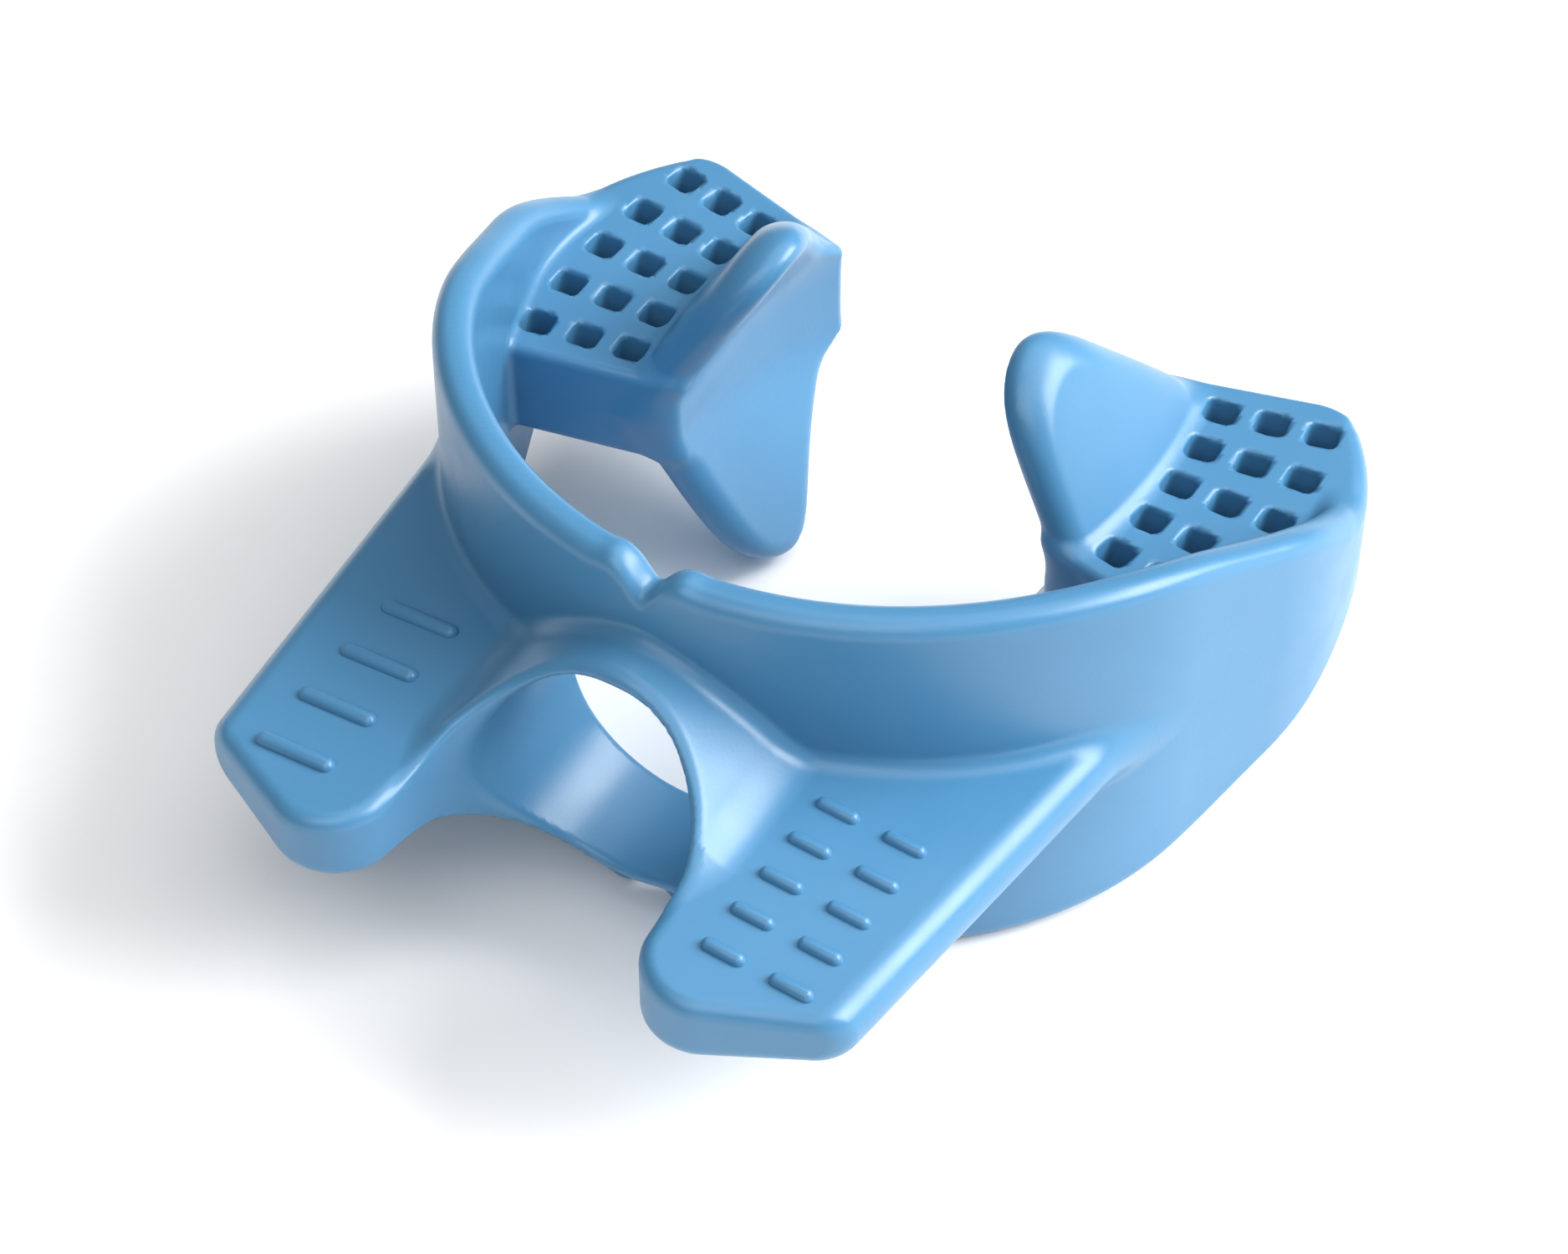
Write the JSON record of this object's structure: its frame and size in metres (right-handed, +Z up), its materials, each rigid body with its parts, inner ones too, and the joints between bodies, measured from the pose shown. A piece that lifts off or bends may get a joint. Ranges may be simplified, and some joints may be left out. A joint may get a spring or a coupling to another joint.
{
  "type": "dental impression tray",
  "caption": "Two-sided bite and impression tray for toothless jaws: curved labial wall, perforated bite blocks, leaning lingual flanges and a winged handle round a tunnel.",
  "frame": {"origin": "centre of the bounding box at the lowest point of the front rim", "axes": "+Z up, +Y from the handle towards the throat, +X to the right seen from the handle"},
  "size_m": [0.0686, 0.0717, 0.0328],
  "materials": {
    "tray_plastic": "satin pale-blue moulded plastic with a very fine moulded grain"
  },
  "bodies": {
    "root": {"labial_wall": "tray_plastic", "left_cheek_wall": "tray_plastic", "right_cheek_wall": "tray_plastic", "tunnel_collar": "tray_plastic", "left_bite_block": "tray_plastic", "right_bite_block": "tray_plastic", "left_upper_flange": "tray_plastic", "right_upper_flange": "tray_plastic", "left_lower_flange": "tray_plastic", "right_lower_flange": "tray_plastic", "upper_bridge": "tray_plastic", "lower_bridge": "tray_plastic", "left_wing": "tray_plastic", "right_wing": "tray_plastic", "left_grip_bars": "tray_plastic", "right_grip_bars": "tray_plastic"}
  },
  "joints": []
}
